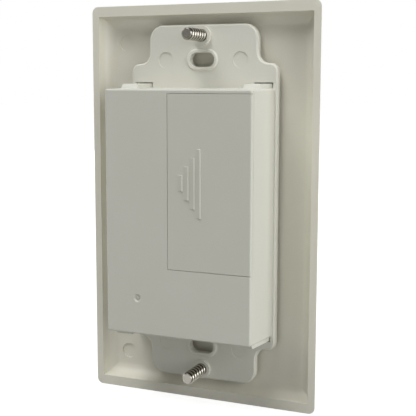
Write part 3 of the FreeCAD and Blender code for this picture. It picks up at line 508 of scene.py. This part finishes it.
# %% Case shell, battery cover and button caps
case = softened("rear_case", "rear_case_shell", 0.12)
smooth(case)
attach(case, "switch")
RIDGE_SMOOTH_DEGREES = 10  # the grip ridges' ramps rise by 15 degrees and stay plain to see
cover = softened("battery_cover", "battery_cover_panel", 0.07)
smooth(cover, RIDGE_SMOOTH_DEGREES)
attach(cover, "cover")
SYMBOL_FLOOR_Y = -6.45 * MM
SYMBOL_FLOOR_REACH = 0.02 * MM
FRONT_NORMAL_Y = -0.9  # a face looks to the front where its normal's Y is below this
for button in ("up", "stop", "down"):
    cap = softened(button + "_button", button + "_button_cap", 0.08,
                   halve=True)
    cap.data.materials.append(symbol_paint)
    for face in cap.data.polygons:
        on_floor = abs(face.center.y - SYMBOL_FLOOR_Y) < SYMBOL_FLOOR_REACH
        if on_floor and face.normal.y < FRONT_NORMAL_Y:
            face.material_index = 1
    smooth(cap)
    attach(cap, button)
print("case", len(case.data.polygons), "cover", len(cover.data.polygons), "faces")

# %% [markdown]
# ## The plate screws
# A 6-32 machine screw has 32 threads to the inch, a pitch of 0.794 mm, which is finer than this
# view can show, so the thread is drawn at twice that pitch. One way to make it is a profile swept
# along a helix, but its ends then need closing by hand. Here a ring is extruded along the whole
# screw instead, like turning on a lathe, and the rings of the threaded length then move in and
# out with their angle, which winds the thread round one closed surface.

# %% Turning and threading a screw
RING = 40
PITCH = 2 * 0.794 * MM  # twice the real pitch, which is too fine to show in this view
RINGS_PER_PITCH = 16
HEAD_R = 3.45 * MM
HEAD_DOME = 0.7 * MM
FACE_Y = -5.5 * MM
HEAD_STEPS = (0.12, 0.35, 0.55, 0.72, 0.86, 0.95, 1.0)  # shares of the head's radius
HEAD_EDGE_IN = 0.04 * MM
HEAD_EDGE_BACK = 0.06 * MM
SLOT_W = 1.0 * MM
SLOT_DEEP = 1.1 * MM
SLOT_L = 3 * HEAD_R  # longer than the head is wide, so that both ends stay open
TIP_CHAMFER = 0.45 * MM
CREST_FLAT = 1.3  # above 1, so that the vee's crest is cut off flat
VEE_SLOPE = 2.9
THREAD_SMOOTH_DEGREES = 30


def turned(name, profile, z):
    """A solid of rings extruded along Y from one ring to the next, closed at both ends."""
    first_r, first_y = profile[0]
    bpy.ops.object.select_all(action="DESELECT")
    bpy.ops.mesh.primitive_circle_add(vertices=RING, radius=first_r, fill_type="NGON",
                                      location=(0, first_y, z), rotation=(math.pi / 2, 0, 0))
    piece = bpy.context.object
    piece.name = name
    apply_place(piece)
    bpy.ops.object.mode_set(mode="EDIT")
    bpy.ops.mesh.select_all(action="SELECT")
    last_r, last_y = first_r, first_y
    for r, y in profile[1:]:
        bpy.ops.mesh.extrude_region_move(TRANSFORM_OT_translate={"value": (0, y - last_y, 0)})
        grow = r / last_r
        bpy.ops.transform.resize(value=(grow, 1, grow), center_override=(0, y, z))
        last_r, last_y = r, y
    bpy.ops.mesh.select_all(action="SELECT")
    bpy.ops.mesh.normals_make_consistent(inside=False)
    bpy.ops.object.mode_set(mode="OBJECT")
    return piece


def thread_radius(x, y, z_off):
    """The thread's radius at a point's angle and place along Y, on a vee with a flat crest."""
    turn = math.atan2(z_off, x) / (2 * math.pi)
    phase = (y / PITCH - turn) % 1.0
    rise = min(1.0, max(0.0, CREST_FLAT - abs(phase - 0.5) * VEE_SLOPE))
    runout = min(1.0, (y - THREAD_START_Y) / PITCH)
    from_tip = max(0.0, TIP_Y - y)
    radius = THREAD_ROOT_R + (THREAD_CREST_R - THREAD_ROOT_R) * rise * runout
    return min(radius, THREAD_CREST_R - TIP_CHAMFER + from_tip)


def plate_screw(name, node, z):
    """A slotted oval-head screw with a wound thread."""
    dome = [(HEAD_R * share, FACE_Y - HEAD_DOME * (1 - share * share)) for share in HEAD_STEPS]
    neck = [(HEAD_R - HEAD_EDGE_IN, FACE_Y + HEAD_EDGE_BACK), (THREAD_ROOT_R, THREAD_START_Y)]
    count = math.ceil((TIP_Y - THREAD_START_Y) / PITCH * RINGS_PER_PITCH)
    step = (TIP_Y - THREAD_START_Y) / count
    shank = [(THREAD_ROOT_R, THREAD_START_Y + step * k) for k in range(1, count + 1)]
    piece = turned(name, dome + neck + shank, z)
    for vertex in piece.data.vertices:
        x, y, z_off = vertex.co.x, vertex.co.y, vertex.co.z - z
        reach = math.hypot(x, z_off)
        if y > THREAD_START_Y + step / 2 and reach > THREAD_ROOT_R / 2:
            grow = thread_radius(x, y, z_off) / reach
            vertex.co.x, vertex.co.z = x * grow, z + z_off * grow
    bpy.ops.object.select_all(action="DESELECT")
    bpy.ops.mesh.primitive_cube_add(size=1.0, location=(0, FACE_Y - HEAD_DOME, z))
    bar = bpy.context.object
    bar.scale = (SLOT_L, 2 * SLOT_DEEP, SLOT_W)
    apply_place(bar)
    cut(piece, [bar])
    piece.data.materials.append(zinc)
    only(piece)
    bpy.ops.object.shade_smooth_by_angle(angle=math.radians(THREAD_SMOOTH_DEGREES))
    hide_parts(node)
    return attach(piece, "switch")


for name, z in (("upper", SCREW_Z), ("lower", -SCREW_Z)):
    screw = plate_screw("plate_screw_" + name + "_threaded", "plate_screw_" + name, z)
    print(screw.name, len(screw.data.polygons), "faces")

# %% [markdown]
# ## Floor, light and camera
# The floor is a grey paper, so that little light bounces up onto the plastic. To the camera it
# also glows nearly white, a little less close to the object, and the soft shadow under the plate
# stays. Four soft lamps stand round the object at one distance, as for a product photograph: the
# strongest on the side of the battery cover, one high behind, one in front for the buttons and a
# weak one on the far side, while an even pale surrounding fills the shadows. The camera stands
# behind the switch, a little above its middle.

# %% Floor and surroundings
FLOOR_GAP = 0.1 * MM
FLOOR_SIZE = 6.0
GLOW_NEAR = 0.12
GLOW_FAR = 0.6
GLOW_NEAR_LEVEL = 0.84
GLOW_FAR_LEVEL = 0.99
floor_z = cad_box[0][2] - FLOOR_GAP
bpy.ops.object.select_all(action="DESELECT")
bpy.ops.mesh.primitive_plane_add(size=FLOOR_SIZE, location=(0, 0, floor_z))
floor = bpy.context.object
floor.name = "studio_floor"
paper, tree, output, place = new_material("white_paper_sweep")
seen = add(tree, "ShaderNodeLightPath")
matt = add(tree, "ShaderNodeBsdfDiffuse", {"Color": linear("9A9A98")})
reach = add(tree, "ShaderNodeVectorMath", {"operation": "LENGTH"}, {0: place})
whiten = add(tree, "ShaderNodeMapRange",
             {"From Min": GLOW_NEAR, "From Max": GLOW_FAR,
              "To Min": GLOW_NEAR_LEVEL, "To Max": GLOW_FAR_LEVEL},
             {"Value": reach.outputs["Value"]})
glow = add(tree, "ShaderNodeEmission", {"Color": (1, 1, 1, 1)},
           {"Strength": whiten.outputs["Result"]})
either = add(tree, "ShaderNodeMath", {"operation": "MAXIMUM"},
             {0: seen.outputs["Is Camera Ray"], 1: seen.outputs["Is Glossy Ray"]})
white = add(tree, "ShaderNodeMath", {"operation": "MAXIMUM"},
            {0: either.outputs[0], 1: seen.outputs["Is Transmission Ray"]})
dark = add(tree, "ShaderNodeEmission", {"Color": (0, 0, 0, 1), "Strength": 0.0})
lift = add(tree, "ShaderNodeMixShader", {},
           {0: white.outputs[0], 1: dark.outputs[0], 2: glow.outputs[0]})
both = add(tree, "ShaderNodeAddShader", {}, {0: matt.outputs[0], 1: lift.outputs[0]})
tree.links.new(both.outputs[0], output.inputs["Surface"])
floor.data.materials.append(paper)

FILL_LEVEL = 0.14
SHINE_SHARE = 0.18  # how far a shiny surface sees the fill lifted towards the white backdrop
world = bpy.data.worlds.new("pale_room")
bpy.context.scene.world = world
world.use_nodes = True
tree = world.node_tree
tree.nodes.clear()
output = add(tree, "ShaderNodeOutputWorld")
seen = add(tree, "ShaderNodeLightPath")
either = add(tree, "ShaderNodeMath", {"operation": "MAXIMUM"},
             {0: seen.outputs["Is Camera Ray"], 1: seen.outputs["Is Transmission Ray"]})
shine = add(tree, "ShaderNodeMath", {"operation": "MULTIPLY", 1: SHINE_SHARE},
            {0: seen.outputs["Is Glossy Ray"]})
lifted = add(tree, "ShaderNodeMath", {"operation": "MAXIMUM"},
             {0: either.outputs[0], 1: shine.outputs[0]})
fill = add(tree, "ShaderNodeBackground", {"Color": linear("FFFEFB"), "Strength": FILL_LEVEL})
backdrop = add(tree, "ShaderNodeBackground", {"Color": (1, 1, 1, 1), "Strength": 1.0})
mixed = add(tree, "ShaderNodeMixShader", {},
            {0: lifted.outputs[0], 1: fill.outputs[0], 2: backdrop.outputs[0]})
tree.links.new(mixed.outputs[0], output.inputs["Surface"])
print("floor at", round(floor_z / MM, 2), "mm")

# %% Lamps
CENTRE = Vector((0, 0, 0))
LAMP_AWAY = 0.9


def soft_lamp(name, way, size, level):
    """A square lamp whose light on a face turned to it renders as level times its colour."""
    place = CENTRE + Vector(way).normalized() * LAMP_AWAY
    bpy.ops.object.light_add(type="AREA", location=place)
    lamp = bpy.context.object
    lamp.name = name
    lamp.rotation_euler = (CENTRE - place).to_track_quat("-Z", "Y").to_euler()
    lamp.data.shape = "SQUARE"
    lamp.data.size = size
    lamp.data.energy = level * math.pi ** 2 * LAMP_AWAY ** 2
    return lamp


side = soft_lamp("side_softbox", (-1.0, 0.16, 0.20), 0.8, 1.00)
top = soft_lamp("top_softbox", (0.20, 0.42, 1.0), 0.5, 0.66)
front = soft_lamp("front_softbox", (0.25, -1.0, 0.45), 0.8, 0.62)
far_side = soft_lamp("far_side_softbox", (1.0, -0.20, 0.30), 0.8, 0.34)
print("lamps", [round(lamp.data.energy, 2) for lamp in (side, top, front, far_side)], "W")

# %% Camera
FOCAL_PIXELS = 908.76
FRAME_PIXELS = 416
CAMERA_AT = Vector((-104.40, 237.93, 34.81)) * MM
YAW = math.radians(23.324)
PITCH_DOWN = math.radians(7.760)
ROLL = math.radians(0.11)
SENSOR_MM = 36.0
NEAR_CLIP = 0.01
camera_data = bpy.data.cameras.new("behind_the_switch")
camera_data.sensor_width = SENSOR_MM
camera_data.lens = FOCAL_PIXELS / FRAME_PIXELS * SENSOR_MM
camera_data.clip_start = NEAR_CLIP
camera = bpy.data.objects.new("behind_the_switch", camera_data)
bpy.context.scene.collection.objects.link(camera)
look = Vector((math.sin(YAW) * math.cos(PITCH_DOWN), -math.cos(YAW) * math.cos(PITCH_DOWN),
               -math.sin(PITCH_DOWN)))
turn = look.to_track_quat("-Z", "Y").to_matrix() @ Matrix.Rotation(ROLL, 3, "Z")
camera.matrix_world = Matrix.Translation(CAMERA_AT) @ turn.to_4x4()
bpy.context.scene.camera = camera
bpy.context.scene.view_settings.view_transform = "Standard"
print("lens", round(camera_data.lens, 2), "mm")
